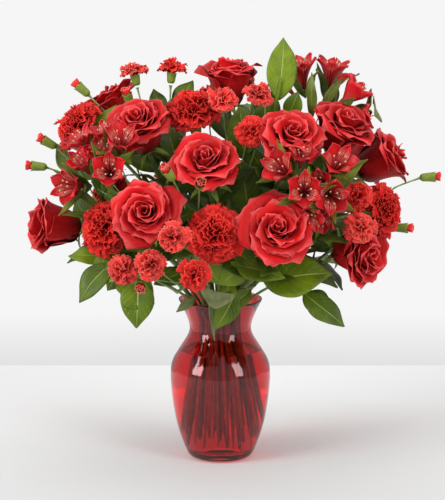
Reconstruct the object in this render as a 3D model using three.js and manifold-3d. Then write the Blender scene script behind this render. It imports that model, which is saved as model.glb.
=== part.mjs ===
// A ruby glass vase with a domed bouquet of roses, carnations, spray carnations,
// alstroemeria and lemon leaf. Millimetres, +Z up. The origin is the centre of the
// vase's underside, and the bouquet's front looks along -Y.
import * as THREE from "three";
import { mergeVertices } from "three/addons/utils/BufferGeometryUtils.js";
import Module from "manifold-3d";

const wasm = await Module();
wasm.setup();

// ---------- Driving dimensions ----------

const vase = {
  height: 203,
  footRadius: 35,
  bellyRadius: 63.5,
  bellyHeight: 112,
  neckRadius: 38,
  flare: 40, // the neck's narrowest place is this far below the rim
  rimRadius: 53,
  wall: 3,
  floor: 8,
};
const neckHeight = vase.height - vase.flare;
const clearance = 0.3; // between pieces that touch
const roseWidth = 74; // across the closed part of a rose's head
const carnationWidth = 66;
const sprayWidth = 29; // an open spray carnation
const budWidth = 12;
const lilyWidth = 38; // the mouth of one alstroemeria flower
const stemRadius = { rose: 3.3, carnation: 2.4, spray: 1.9, alstroemeria: 2.4, leaf: 2 };
const shootRadius = 1.1; // side shoots and pedicels
const stalkRadius = 0.9; // leaf stalks
const bladeLift = 0.9; // a leaf's middle above and below its edges
const stemGap = 0.9; // least gap between stems
const collar = 6; // a single flower's stem is straight for this far below its head
const spiral = THREE.MathUtils.degToRad(10); // how far the stems turn between neck and floor
const fan = 2.2; // how far they spread on the way, as a multiple
const fillGapRadius = 9.5; // a way down through the neck, kept free to top up the water

// The dome is laid out for flowers of these widths. Larger ones open it out.
const crowd = Math.max(1, roseWidth / 74, carnationWidth / 66, sprayWidth / 29, lilyWidth / 38);

// ---------- The arrangement ----------
// Places are measured from the centre of the vase's mouth: x to the right, y to the
// back and z up. `faces` is the way a flower opens, or a leaf's upper side looks.

const roses = [
  { at: [11, 20, 266], faces: [0, -0.1, 1] },
  { at: [-95, -58, 216], faces: [-0.25, -0.5, 0.8] },
  { at: [-16, -102, 176], faces: [-0.1, -0.65, 0.7] },
  { at: [-84, -148, 128], faces: [-0.15, -0.9, 0.4] },
  { at: [66, -152, 108], faces: [0.05, -0.85, 0.5] },
  { at: [84, -85, 206], faces: [0.15, -0.65, 0.75] },
  { at: [146, -30, 212], faces: [0.45, -0.35, 0.8] },
  { at: [194, -5, 172], faces: [0.85, -0.1, 0.5] },
  { at: [160, -92, 74], faces: [0.75, -0.6, -0.05] },
  { at: [-198, -45, 98], faces: [-0.95, -0.3, 0.15] },
  { at: [-131, 45, 230], faces: [-0.6, 0.1, 0.8] },
  { at: [-72, 105, 190], faces: [-0.4, 0.7, 0.6] },
  { at: [85, 105, 180], faces: [0.4, 0.75, 0.5] },
  { at: [10, 140, 105], faces: [0.05, 1, 0.25] },
];

const carnations = [
  { at: [-6, -150, 105], faces: [-0.05, -0.9, 0.35] },
  { at: [-132, -106, 106], faces: [-0.7, -0.7, 0.15] },
  { at: [-168, -15, 214], faces: [-0.75, -0.25, 0.6] },
  { at: [-32, -36, 233], faces: [-0.1, -0.45, 0.85] },
  { at: [188, -78, 122], faces: [0.9, -0.4, 0.2] },
  { at: [-135, 85, 110], faces: [-0.75, 0.6, 0.25] },
];

const sprays = [
  [
    { at: [-105, 5, 278], faces: [-0.2, 0.1, 1] },
    { at: [-112, -22, 254], faces: [-0.3, -0.3, 1], bud: true },
    { at: [-172, 12, 262], faces: [-0.8, 0, 0.7], bud: true },
    { at: [-60, 15, 280], faces: [0.1, 0.1, 1] },
  ],
  [
    { at: [-212, -25, 200], faces: [-0.8, -0.2, 0.5], bud: true },
    { at: [-224, -40, 172], faces: [-1, -0.1, 0.1], bud: true },
  ],
  [
    { at: [3, -68, 252], faces: [0, -0.7, 0.7] },
    { at: [45, -50, 256], faces: [0.2, -0.5, 0.8] },
    { at: [39, -90, 220], faces: [-0.3, -0.9, 0.3] },
  ],
  [
    { at: [-60, -160, 180], faces: [-0.4, -0.6, 0.7], bud: true },
    { at: [-23, -168, 168], faces: [0.05, -0.9, 0.4], bud: true },
    { at: [-54, -206, 112], faces: [0.1, -1, 0.2] },
  ],
  [
    { at: [-112, -160, 66], faces: [-0.3, -0.9, 0.2] },
    { at: [-80, -178, 76], faces: [0, -1, 0.2] },
    { at: [-30, -184, 66], faces: [0.1, -1, 0] },
    { at: [-92, -172, 50], faces: [-0.1, -1, -0.2], bud: true },
  ],
  [
    { at: [258, -20, 156], faces: [1, 0, 0.05], bud: true },
    { at: [222, -52, 98], faces: [1, -0.2, 0], bud: true },
    { at: [163, -118, 146], faces: [-0.3, -0.9, 0.3] },
    { at: [165, -138, 112], faces: [-0.3, -1, 0.1] },
  ],
  [
    { at: [-15, 95, 240], faces: [0, 0.6, 0.8] },
    { at: [28, 82, 258], faces: [0.2, 0.4, 1] },
    { at: [-72, 158, 122], faces: [-0.3, 1, 0.2] },
    { at: [82, 162, 112], faces: [0.4, 1, 0.1] },
    { at: [12, 150, 168], faces: [0, 1, 0.4] },
    { at: [-38, 150, 150], faces: [-0.3, 1, 0.3], bud: true },
  ],
];

const alstroemerias = [
  {
    flowers: [
      { at: [-160, -68, 196], faces: [-0.5, -0.2, 0.8] },
      { at: [-172, -100, 156], faces: [-0.6, -0.8, 0.1] },
      { at: [-130, -122, 176], faces: [0, -0.9, 0.3] },
      { at: [-117, -108, 206], faces: [0.1, -0.7, 0.7] },
    ],
    leaves: [
      { base: [-140, -70, 120], tip: [-196, -92, 158], faces: [0, -0.8, 0.6], width: 12 },
      { base: [-140, -72, 112], tip: [-188, -90, 122], faces: [0, -0.7, 0.7], width: 13 },
    ],
  },
  {
    flowers: [
      { at: [102, 22, 276], faces: [-0.15, -0.2, 1] },
      { at: [136, 26, 274], faces: [0.2, -0.1, 1] },
      { at: [158, 0, 252], faces: [0.7, -0.1, 0.75] },
      { at: [176, 15, 226], faces: [0.8, 0, 0.5] },
    ],
    leaves: [
      { base: [112, -18, 228], tip: [110, -22, 284], faces: [-0.2, -1, 0.1], width: 13 },
      { base: [126, 4, 236], tip: [150, -2, 276], faces: [-0.2, -1, 0.1], width: 13 },
      { base: [152, 20, 226], tip: [190, 8, 246], faces: [0, -0.7, 0.7], width: 11 },
    ],
  },
  {
    flowers: [
      { at: [74, -128, 178], faces: [-0.4, -0.8, 0.4] },
      { at: [97, -158, 158], faces: [0, -1, 0.25] },
      { at: [128, -146, 152], faces: [0.1, -1, 0] },
      { at: [136, -118, 182], faces: [0.2, -0.8, 0.6] },
    ],
    leaves: [
      { base: [116, -110, 100], tip: [112, -152, 134], faces: [0.6, -0.8, 0], width: 12 },
      { base: [108, -100, 92], tip: [152, -140, 96], faces: [0, -0.6, 0.8], width: 13 },
      { base: [128, -80, 150], tip: [168, -94, 182], faces: [0.2, -0.8, 0.5], width: 20 },
    ],
  },
  {
    flowers: [
      { at: [152, 70, 192], faces: [0.6, 0.5, 0.7] },
      { at: [178, 72, 150], faces: [0.8, 0.6, 0.2] },
      { at: [168, 90, 108], faces: [0.8, 0.8, 0] },
      { at: [135, 118, 96], faces: [0.5, 1, 0] },
    ],
    leaves: [
      { base: [135, 60, 110], tip: [190, 90, 105], faces: [0, 0.2, 1], width: 14 },
    ],
  },
];

const lemonLeaves = [
  [
    { base: [71, -18, 250], tip: [78, 6, 326], faces: [0.1, -1, 0.2], width: 38 },
    { base: [52, -16, 215], tip: [52, -14, 270], faces: [0.3, -1, 0.1], width: 40 },
    { base: [82, -28, 232], tip: [94, -34, 262], faces: [0.1, -1, 0.2], width: 24 },
  ],
  [
    { base: [-152, -34, 204], tip: [-128, -20, 246], faces: [-0.5, -0.6, 0.6], width: 28 },
    { base: [-52, 14, 232], tip: [-35, 12, 272], faces: [-0.3, -0.8, 0.5], width: 30 },
    { base: [-74, 20, 225], tip: [-82, 12, 262], faces: [-0.2, -0.8, 0.6], width: 24 },
    { base: [-172, 22, 150], tip: [-208, 45, 188], faces: [-0.7, 0.5, 0.5], width: 34 },
  ],
  [
    { base: [-100, -84, 66], tip: [-166, -66, 92], faces: [-0.3, -0.8, 0.6], width: 40 },
    { base: [-128, -118, 66], tip: [-168, -130, 22], faces: [-0.4, -0.8, 0.4], width: 34 },
    { base: [-135, -90, 68], tip: [-182, -92, 72], faces: [-0.4, -0.7, 0.6], width: 26 },
    { base: [-112, -95, 62], tip: [-136, -100, 30], faces: [-0.2, -0.9, 0.4], width: 30 },
    { base: [-98, -122, 50], tip: [-100, -138, -8], faces: [-0.1, -1, 0.2], width: 42 },
  ],
  [
    { base: [4, -100, 62], tip: [-8, -100, 6], faces: [-0.1, -1, 0.2], width: 52 },
    { base: [-42, -70, 46], tip: [-80, -86, 36], faces: [-0.2, -0.8, 0.6], width: 28 },
    { base: [20, -70, 25], tip: [-6, -82, -22], faces: [0.1, -1, 0.1], width: 30 },
  ],
  [
    { base: [52, -92, 40], tip: [132, -110, 55], faces: [0.2, -0.8, 0.6], width: 58 },
    { base: [20, -112, 62], tip: [76, -135, 54], faces: [0, -0.8, 0.6], width: 34 },
    { base: [100, -88, 24], tip: [150, -104, -12], faces: [0.3, -0.9, 0.3], width: 33 },
  ],
  [
    { base: [27, -32, 180], tip: [24, -22, 244], faces: [0.1, -1, 0.2], width: 42 },
    { base: [32, -62, 118], tip: [22, -58, 184], faces: [0.2, -1, 0.2], width: 40 },
  ],
  [
    { base: [-60, 95, 60], tip: [-110, 135, 50], faces: [-0.4, 0.6, 0.7], width: 44 },
    { base: [-35, 85, 45], tip: [-45, 125, -5], faces: [-0.2, 0.9, 0.4], width: 40 },
    { base: [-105, 55, 60], tip: [-170, 70, 40], faces: [-0.4, 0.5, 0.8], width: 42 },
  ],
  [
    { base: [60, 90, 55], tip: [115, 130, 45], faces: [0.4, 0.6, 0.7], width: 46 },
    { base: [35, 75, 40], tip: [40, 118, -8], faces: [0.2, 0.9, 0.4], width: 42 },
    { base: [45, 75, 205], tip: [35, 130, 235], faces: [0, 0.4, 0.9], width: 38 },
    { base: [118, 12, 48], tip: [184, 28, 30], faces: [0.4, 0.4, 0.8], width: 44 },
  ],
];

// ---------- Vectors and solids ----------

const vec = (p) => new THREE.Vector3(...p);
const UP = new THREE.Vector3(0, 0, 1);
const mouth = new THREE.Vector3(0, 0, vase.height);

// A place in the arrangement, in the part's own frame.
const placed = (p) => vec(p).multiplyScalar(crowd).add(mouth);

const aim = ({ faces }) => vec(faces).normalize();

function toSolid(geometry) {
  const bare = geometry.index ? geometry.toNonIndexed() : geometry.clone();
  bare.deleteAttribute("normal");
  bare.deleteAttribute("uv");
  const merged = mergeVertices(bare, 1e-3);
  return new wasm.Manifold(
    new wasm.Mesh({
      numProp: 3,
      vertProperties: merged.attributes.position.array,
      triVerts: new Uint32Array(merged.index.array),
    }),
  );
}

function toGeometry(solid) {
  const mesh = solid.getMesh();
  return new THREE.BufferGeometry()
    .setAttribute("position", new THREE.BufferAttribute(mesh.vertProperties, 3))
    .setIndex(new THREE.BufferAttribute(mesh.triVerts, 1));
}

// A solid without the slivers that a join or a cut can leave beside it.
function mainBody(solid) {
  return solid.decompose().reduce((best, body) => (body.volume() > best.volume() ? body : best));
}

// A path of straight lengths, which a tube follows point by point.
class StraightLengths extends THREE.Curve {
  constructor(points) {
    super();
    this.points = points;
  }
  getPoint(t) {
    const along = t * (this.points.length - 1);
    const i = Math.min(Math.floor(along), this.points.length - 2);
    return this.points[i].clone().lerp(this.points[i + 1], along - i);
  }
  getUtoTmapping(u) {
    return u;
  }
}

function tube(points, radius, sides) {
  const section = new THREE.Shape();
  for (let i = 0; i < sides; i++) {
    const angle = (2 * Math.PI * i) / sides;
    section[i ? "lineTo" : "moveTo"](radius * Math.cos(angle), radius * Math.sin(angle));
  }
  section.closePath();
  return new THREE.ExtrudeGeometry(section, {
    steps: points.length - 1,
    bevelEnabled: false,
    extrudePath: new StraightLengths(points),
  });
}

// ---------- Vase ----------

function vaseOutline(points) {
  const { height, footRadius, bellyRadius, bellyHeight, neckRadius, rimRadius } = vase;
  const heel = footRadius + 6;
  return new THREE.SplineCurve(
    [
      [heel, 3.5],
      [(heel + bellyRadius) / 2 + 4, bellyHeight * 0.42],
      [bellyRadius, bellyHeight],
      [(bellyRadius + neckRadius) / 2 + 1.5, (bellyHeight + neckHeight) / 2 + 1],
      [neckRadius, neckHeight],
      [(neckRadius + rimRadius) / 2 - 1.5, (neckHeight + height) / 2 + 3],
      [rimRadius, height],
    ].map(([r, z]) => new THREE.Vector2(r, z)),
  ).getPoints(points);
}

function vaseSolid() {
  const outline = vaseOutline(15);
  const inner = outline
    .map((p, i) => {
      const along = outline[Math.min(i + 1, outline.length - 1)]
        .clone()
        .sub(outline[Math.max(i - 1, 0)])
        .normalize();
      return new THREE.Vector2(p.x - along.y * vase.wall, p.y + along.x * vase.wall);
    })
    .filter((p) => p.y > vase.floor + 4 && p.y < vase.height - 4)
    .reverse();
  const innerFoot = inner[inner.length - 1].x - 4;
  const profile = [
    new THREE.Vector2(0, 0),
    new THREE.Vector2(vase.footRadius, 0),
    ...outline,
    new THREE.Vector2(vase.rimRadius - vase.wall / 2, vase.height + 0.8),
    new THREE.Vector2(vase.rimRadius - vase.wall, vase.height - 0.6),
    ...inner,
    new THREE.Vector2(innerFoot, vase.floor),
    new THREE.Vector2(0, vase.floor),
  ];
  return new THREE.LatheGeometry(profile, 32).rotateX(Math.PI / 2);
}

// The glass's inner radius at a height, a little on the safe side.
function insideRadius(z) {
  const outline = vaseOutline(60);
  const next = Math.max(1, outline.findIndex((p) => p.y >= z));
  const low = outline[next - 1];
  const high = outline[next];
  const share = THREE.MathUtils.clamp((z - low.y) / (high.y - low.y), 0, 1);
  return THREE.MathUtils.lerp(low.x, high.x, share) - vase.wall - 1;
}

// ---------- Stems below the neck ----------

// Every cut stem crosses the neck at a place of its own: it starts under its own flowers,
// and neighbours shoulder each other apart until none touch.
const cuts = [];

function cutStem(kind, towards) {
  const cut = { radius: stemRadius[kind], x: towards.x * 0.1, y: towards.y * 0.1 };
  cuts.push(cut);
  return cut;
}

function settleNeck() {
  const inside = insideRadius(neckHeight);
  const fillGap = { x: 0, y: inside - fillGapRadius };
  const apart = (a, b, least) => {
    const dx = b.x - a.x;
    const dy = b.y - a.y;
    const distance = Math.hypot(dx, dy);
    const push = Math.max(0, least - distance) / 2 / distance;
    return [dx * push, dy * push];
  };
  for (let pass = 0; pass < 600; pass++) {
    cuts.forEach((a, i) => {
      for (const b of cuts.slice(i + 1)) {
        const [dx, dy] = apart(a, b, a.radius + b.radius + stemGap);
        a.x -= dx;
        a.y -= dy;
        b.x += dx;
        b.y += dy;
      }
      const [fx, fy] = apart(a, fillGap, a.radius + fillGapRadius);
      a.x -= 2 * fx;
      a.y -= 2 * fy;
      const most = inside - a.radius;
      const reach = Math.hypot(a.x, a.y);
      if (reach > most) {
        a.x *= most / reach;
        a.y *= most / reach;
      }
    });
  }
}

// Below the neck a stem runs straight, turning with the spiral and fanning out. It is cut
// off a little above the floor of the vase, or higher up where it would meet the glass.
function placeFeet() {
  cuts.forEach((cut, i) => {
    const foot = new THREE.Vector2(cut.x, cut.y).rotateAround(new THREE.Vector2(), spiral);
    foot.multiplyScalar(fan);
    cut.neck = new THREE.Vector3(cut.x, cut.y, neckHeight);
    const floorPoint = new THREE.Vector3(foot.x, foot.y, vase.floor);
    const lowest = vase.floor + 6 + ((i * 7) % 5) * 6;
    const room = (p) => insideRadius(p.z) - cut.radius - stemGap - Math.hypot(p.x, p.y);
    let share = 1;
    do {
      share -= 0.01;
      cut.foot = cut.neck.clone().lerp(floorPoint, share);
    } while (cut.foot.z < lowest || room(cut.foot) < 0);
  });
}

// ---------- Stems above the neck ----------

// Each stretch of stem from the neck up, and each side shoot, is one of these runs. A run's
// ends stay where they are, and its middle bows away from other plants and from the glass.
// A side shoot's `origin` is the place on its parent's run that it grows from.
const runs = [];
const crowns = []; // the flowers' heads, as balls that the runs bow around

function addRun(plant, radius, curve, steps, origin = null) {
  const run = { plant, radius, curve, steps, origin };
  runs.push(run);
  return run;
}

function bow(run, at, shift) {
  const early = 3 * at * (1 - at) ** 2;
  const late = 3 * at ** 2 * (1 - at);
  const share = early ** 2 + late ** 2 + 0.05;
  run.curve.v1.addScaledVector(shift, early / share);
  run.curve.v2.addScaledVector(shift, late / share);
}

// How far `other` has to move so that two round things `least` apart stop touching.
function shove(point, other, least) {
  const way = other.clone().sub(point);
  const short = least - way.length();
  return short > 0 ? way.setLength(short) : null;
}

function settleRuns() {
  const shares = Array.from({ length: 25 }, (_, i) => i / 24);
  for (let pass = 0; pass < 60; pass++) {
    for (const run of runs) {
      if (run.origin) run.curve.v0.copy(run.origin.run.curve.getPoint(run.origin.share));
      const lengths = new StraightLengths(run.curve.getPoints(run.steps));
      run.points = shares.map((t) => lengths.getPoint(t));
    }
    runs.forEach((run, i) => {
      for (const other of runs.slice(i + 1)) {
        if (other.plant === run.plant) continue;
        const least = run.radius + other.radius + stemGap;
        run.points.forEach((p, m) => {
          const distances = other.points.map((q) => p.distanceToSquared(q));
          const n = distances.indexOf(Math.min(...distances));
          const shift = shove(p, other.points[n], least);
          if (!shift) return;
          bow(other, shares[n], shift.clone().multiplyScalar(0.25));
          bow(run, shares[m], shift.clone().multiplyScalar(-0.25));
        });
      }
      for (const crown of crowns) {
        if (crown.plant === run.plant) continue;
        run.points.forEach((p, m) => {
          const shift = shove(crown.centre, p, crown.radius + run.radius + stemGap);
          if (shift) bow(run, shares[m], shift.multiplyScalar(0.5));
        });
      }
      run.points.forEach((p, m) => {
        if (p.z > vase.height + 2) return;
        const excess = Math.hypot(p.x, p.y) - (insideRadius(p.z) - run.radius);
        const inward = new THREE.Vector3(-p.x, -p.y, Math.hypot(p.x, p.y));
        if (excess > 0) bow(run, shares[m], inward.setLength(excess));
      });
    });
  }
}

// The run from a cut stem's place in the neck up to `end`, which it meets heading `faces`.
function mainRun(plant, cut, end, faces) {
  const rise = cut.neck.clone().sub(cut.foot).normalize();
  const reach = cut.neck.distanceTo(end);
  const curve = new THREE.CubicBezierCurve3(
    cut.neck,
    cut.neck.clone().addScaledVector(rise, Math.max(vase.flare, reach * 0.3)),
    end.clone().addScaledVector(faces, -reach * 0.3),
    end,
  );
  return addRun(plant, cut.radius, curve, 8);
}

// A side shoot that leaves `from` upwards and meets `end` heading `faces`.
function shoot(from, end, faces) {
  const reach = from.distanceTo(end);
  return new THREE.CubicBezierCurve3(
    from,
    from.clone().lerp(end, 0.3).addScaledVector(UP, reach * 0.08),
    end.clone().addScaledVector(faces, -reach * 0.35),
    end,
  );
}

// ---------- Heads and leaves ----------

// Profiles run from the base of a head to its crown, as shares of half its width across
// and of its depth along.
const headShapes = {
  rose: {
    width: roseWidth,
    depth: roseWidth * 0.78,
    profile: [[0, 0], [0.22, 0], [0.72, 0.22], [1, 0.62], [0.78, 0.92], [0, 1]],
  },
  carnation: {
    width: carnationWidth,
    depth: carnationWidth * 0.85,
    profile: [[0, 0], [0.18, 0], [0.24, 0.42], [0.78, 0.54], [1, 0.76], [0.7, 0.94], [0, 1]],
  },
  spray: {
    width: sprayWidth,
    depth: sprayWidth,
    profile: [[0, 0], [0.2, 0], [0.3, 0.5], [0.95, 0.68], [0.75, 0.92], [0, 1]],
  },
  bud: {
    width: budWidth,
    depth: budWidth * 2.1,
    profile: [[0, 0], [0.45, 0], [1, 0.4], [0.7, 0.85], [0, 1]],
  },
  alstroemeria: {
    width: lilyWidth,
    depth: lilyWidth * 0.95,
    profile: [[0, 0], [0.16, 0], [0.42, 0.5], [0.98, 0.92], [0, 1]],
  },
};

// A head turned about the way it faces. `at` is the middle of its depth.
function headSolid(head, { width, depth, profile }, sides) {
  const points = profile.map(([r, z]) => new THREE.Vector2((r * width) / 2, (z - 0.5) * depth));
  const turn = new THREE.Quaternion().setFromUnitVectors(new THREE.Vector3(0, 1, 0), aim(head));
  const solid = new THREE.LatheGeometry(points, sides).applyQuaternion(turn);
  return solid.translate(...placed(head.at));
}

// Where a head's stalk ends, `gap` below its base.
function footOfHead(head, { depth }, gap) {
  return placed(head.at).addScaledVector(aim(head), -depth / 2 - gap);
}

function noteCrown(plant, { at }, { width }) {
  crowns.push({ plant, centre: placed(at), radius: width / 2 });
}

// A leaf blade: a low ridge over a flat outline. Its upper side rises to one point and its
// underside to a rib of two.
function leafBlade({ base, tip, faces, width }) {
  const pointsASide = 5;
  const from = placed(base);
  const length = placed(tip).sub(from);
  const up = vec(faces);
  up.addScaledVector(length, -up.dot(length) / length.lengthSq()).normalize();
  const side = new THREE.Vector3().crossVectors(length, up).normalize();
  const at = (share, across, lift) =>
    from.clone().addScaledVector(length, share).addScaledVector(side, across).addScaledVector(up, lift);
  const shares = Array.from({ length: pointsASide }, (_, i) => (i + 0.6) / pointsASide);
  const halfWidth = (share) => (width / 2) * Math.sin(Math.PI * share ** 0.85) ** 0.8;
  const outline = [
    at(0, 0, 0),
    ...shares.map((s) => at(s, halfWidth(s), 0)),
    at(1, 0, 0),
    ...shares.map((s) => at(s, -halfWidth(s), 0)).reverse(),
  ];

  const count = outline.length;
  const top = count;
  const rib = [count + 1, count + 2];
  const points = [...outline, at(0.45, 0, bladeLift), at(0.3, 0, -bladeLift), at(0.65, 0, -bladeLift)];
  const crossings = [count / 4, (3 * count) / 4];
  const triangles = [];
  outline.forEach((_, i) => {
    const next = (i + 1) % count;
    const nearTip = i >= crossings[0] && i < crossings[1];
    triangles.push(top, i, next);
    triangles.push(nearTip ? rib[1] : rib[0], next, i);
  });
  triangles.push(rib[0], rib[1], crossings[0]);
  triangles.push(rib[1], rib[0], crossings[1]);
  return new THREE.BufferGeometry()
    .setAttribute("position", new THREE.Float32BufferAttribute(points.flatMap((p) => p.toArray()), 3))
    .setIndex(triangles);
}

// The stalk that joins a leaf to the nearest part of its stem's run.
function addStalk(plant, stemRun, leaf) {
  const base = placed(leaf.base);
  const heading = placed(leaf.tip).sub(base).normalize();
  const sought = base.clone().addScaledVector(UP, -12);
  const steps = 40;
  const distances = stemRun.curve.getPoints(steps).map((p) => p.distanceTo(sought));
  const share = distances.indexOf(Math.min(...distances)) / steps;
  const curve = shoot(stemRun.curve.getPoint(share), base.addScaledVector(heading, 3), heading);
  return addRun(plant, stalkRadius, curve, 3, { run: stemRun, share });
}

const pointsOf = ({ curve, steps }) => curve.getPoints(steps);

// ---------- Assembly ----------

const paint = {
  glass: new THREE.MeshStandardMaterial({
    color: 0x9c0a14,
    roughness: 0.05,
    transparent: true,
    opacity: 0.6,
  }),
  rose: new THREE.MeshStandardMaterial({ color: 0xb80d1c, roughness: 0.55 }),
  carnation: new THREE.MeshStandardMaterial({ color: 0xcf1410, roughness: 0.7 }),
  spray: new THREE.MeshStandardMaterial({ color: 0xd8404a, roughness: 0.7 }),
  stem: new THREE.MeshStandardMaterial({ color: 0x4f6b22, roughness: 0.6 }),
  leaf: new THREE.MeshStandardMaterial({ color: 0x3c6a1c, roughness: 0.45 }),
  alstroemeria: new THREE.MeshStandardMaterial({ color: 0xa50f1c, roughness: 0.45 }),
};

const bouquet = new THREE.Group();
const solids = [];

// Adds a piece made of geometries that are joined into one closed solid. Where it still
// presses on an earlier piece, it is dented to that piece's shape.
function add(name, geometries, material) {
  const whole = geometries.map(toSolid).reduce((sum, part) => sum.add(part));
  const pressing = solids.filter((other) => other.intersect(whole).volume() > 0);
  const solid = mainBody(pressing.reduce((rest, other) => rest.subtract(other), whole));
  solids.push(solid);
  const mesh = new THREE.Mesh(toGeometry(solid), material);
  mesh.name = name;
  bouquet.add(mesh);
}

// Each plant is made in three steps, so that all of them can settle together in between:
// its cut stem first, then its runs, then its solids.

// A flower with one head, whose head and stem are separate pieces.
function single(kind, flower, number) {
  const name = `${kind}_${number}`;
  const shape = headShapes[kind];
  const end = footOfHead(flower, shape, clearance);
  const cut = cutStem(kind, end);
  noteCrown(name, flower, shape);
  return {
    route() {
      this.run = mainRun(name, cut, footOfHead(flower, shape, clearance + collar), aim(flower));
    },
    make() {
      const points = [cut.foot, ...pointsOf(this.run), end];
      add(`${name}_bloom`, [headSolid(flower, shape, 12)], paint[kind]);
      add(`${name}_stem`, [tube(points, stemRadius[kind], 6)], paint.stem);
    },
  };
}

// A branching stem: it runs some way from the neck to its heads, and its side shoots leave
// it one below the other.
function branching(kind, heads, leaves, number, { forkShare, shootSpacing }) {
  const name = `${kind === "spray" ? "spray_carnation" : kind}_${number}`;
  const middle = new THREE.Vector3();
  heads.forEach((head) => middle.addScaledVector(placed(head.at), 1 / heads.length));
  const neckMiddle = new THREE.Vector3(0, 0, neckHeight);
  const fork = neckMiddle.clone().lerp(middle, forkShare);
  const heading = fork.clone().sub(neckMiddle).addScaledVector(UP, 60).normalize();
  const cut = cutStem(kind, fork);
  const shapeOf = (head) => headShapes[head.bud ? "bud" : kind];
  heads.forEach((head) => noteCrown(name, head, shapeOf(head)));
  return {
    route() {
      this.run = mainRun(name, cut, fork, heading);
      this.shoots = heads.map((head, i) => {
        const origin = { run: this.run, share: 0.985 - i * shootSpacing };
        const start = this.run.curve.getPoint(origin.share);
        const curve = shoot(start, footOfHead(head, shapeOf(head), -2), aim(head));
        return addRun(name, shootRadius, curve, 4, origin);
      });
      this.stalks = leaves.map((leaf) => addStalk(name, this.run, leaf));
    },
    make() {
      const pieces = [
        tube([cut.foot, ...pointsOf(this.run)], stemRadius[kind], 6),
        ...this.shoots.map((run) => tube(pointsOf(run), shootRadius, 5)),
        ...heads.map((head) => headSolid(head, shapeOf(head), 10)),
        ...this.stalks.map((run) => tube(pointsOf(run), stalkRadius, 4)),
        ...leaves.map(leafBlade),
      ];
      add(name, pieces, paint[kind]);
    },
  };
}

function lemonTwig(leaves, number) {
  const name = `lemon_leaf_${number}`;
  const end = placed(leaves[0].base);
  const heading = placed(leaves[0].tip).sub(end).normalize().add(UP).normalize();
  const cut = cutStem("leaf", end);
  return {
    route() {
      this.run = mainRun(name, cut, end, heading);
      this.stalks = leaves.map((leaf) => addStalk(name, this.run, leaf));
    },
    make() {
      const pieces = [
        tube([cut.foot, ...pointsOf(this.run)], stemRadius.leaf, 5),
        ...this.stalks.map((run) => tube(pointsOf(run), stalkRadius, 4)),
        ...leaves.map(leafBlade),
      ];
      add(name, pieces, paint.leaf);
    },
  };
}

const plants = [
  ...roses.map((flower, i) => single("rose", flower, i + 1)),
  ...carnations.map((flower, i) => single("carnation", flower, i + 1)),
  ...sprays.map((heads, i) =>
    branching("spray", heads, [], i + 1, { forkShare: 0.66, shootSpacing: 0.08 }),
  ),
  ...alstroemerias.map(({ flowers, leaves }, i) =>
    branching("alstroemeria", flowers, leaves, i + 1, { forkShare: 0.68, shootSpacing: 0.03 }),
  ),
  ...lemonLeaves.map((leaves, i) => lemonTwig(leaves, i + 1)),
];

settleNeck();
placeFeet();
plants.forEach((plant) => plant.route());
settleRuns();

add("vase", [vaseSolid()], paint.glass);
plants.forEach((plant) => plant.make());

export default bouquet;
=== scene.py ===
import math

import bpy
import numpy as np
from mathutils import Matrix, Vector


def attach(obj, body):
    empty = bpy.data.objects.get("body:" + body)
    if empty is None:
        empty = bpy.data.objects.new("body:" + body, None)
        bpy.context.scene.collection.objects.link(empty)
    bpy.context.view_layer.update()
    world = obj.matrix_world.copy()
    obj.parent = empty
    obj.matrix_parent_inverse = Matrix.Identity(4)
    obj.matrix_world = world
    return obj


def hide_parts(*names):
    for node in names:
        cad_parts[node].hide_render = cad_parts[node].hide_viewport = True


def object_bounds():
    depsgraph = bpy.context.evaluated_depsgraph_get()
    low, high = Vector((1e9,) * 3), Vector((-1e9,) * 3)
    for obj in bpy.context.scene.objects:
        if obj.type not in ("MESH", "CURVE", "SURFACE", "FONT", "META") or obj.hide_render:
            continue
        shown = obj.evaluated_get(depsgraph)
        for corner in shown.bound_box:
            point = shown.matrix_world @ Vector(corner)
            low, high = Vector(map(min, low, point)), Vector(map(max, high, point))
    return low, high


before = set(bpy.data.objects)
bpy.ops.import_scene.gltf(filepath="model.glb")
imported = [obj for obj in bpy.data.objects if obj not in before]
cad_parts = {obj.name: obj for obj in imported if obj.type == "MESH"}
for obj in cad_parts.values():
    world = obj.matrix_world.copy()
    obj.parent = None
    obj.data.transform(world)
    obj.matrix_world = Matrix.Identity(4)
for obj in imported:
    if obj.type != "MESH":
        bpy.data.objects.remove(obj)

# A domed bouquet of roses, carnations, spray carnations, alstroemeria and lemon leaf in a
# ruby glass vase. Every head, leaf and stem is measured on its CAD node, and the node's
# plain solid is then replaced by petals, leaves and smooth stems in the same place.

CAD_BOX = [list(corner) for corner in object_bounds()]
HEIGHT = CAD_BOX[1][2]
NODES = sorted(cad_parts)
GOLDEN = math.radians(137.508)
BOUQUET_MIDDLE = np.array([0, 0, 0.25])
NEAR_AXIS = 0.0005  # the radius at which the vase's and the water's profiles start and end
VASE_SIDES = 72
WATER_LEVEL = 0.138
INTO_GLASS = 0.0004

# Each kind of flower and leaf has random numbers of its own, the same at each run.
ROSE_SEED, CARNATION_SEED, SPRAY_SEED, ALSTROEMERIA_SEED = 100, 300, 500, 700
TWIG_SEED, ROSE_LEAF_SEED, CARNATION_LEAF_SEED, RIM_LEAF_SEED = 900, 1100, 1150, 1300

# Shares of a head's width, as in the CAD model's head shapes.
CROWN_RING = {"rose": 0.78, "carnation": 0.7, "spray": 0.75, "bud": 0.7, "alstroemeria": 0.98}
DEPTH = {"rose": 0.78, "carnation": 0.85, "spray": 1.0, "bud": 2.1, "alstroemeria": 0.95}
BUD_AT_MOST = 0.016  # a spray carnation's head narrower than this is a bud
CROWN_SPOKES = 9  # a head's top point has at least this many neighbours, all as far away
BLADE_SPOKES = 11  # a leaf's middle point has at least this many, and not all as far away
BLADE_MIDDLE = 0.45  # how far along a blade its middle point is


# ---------- Camera, floor and light ----------


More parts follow.
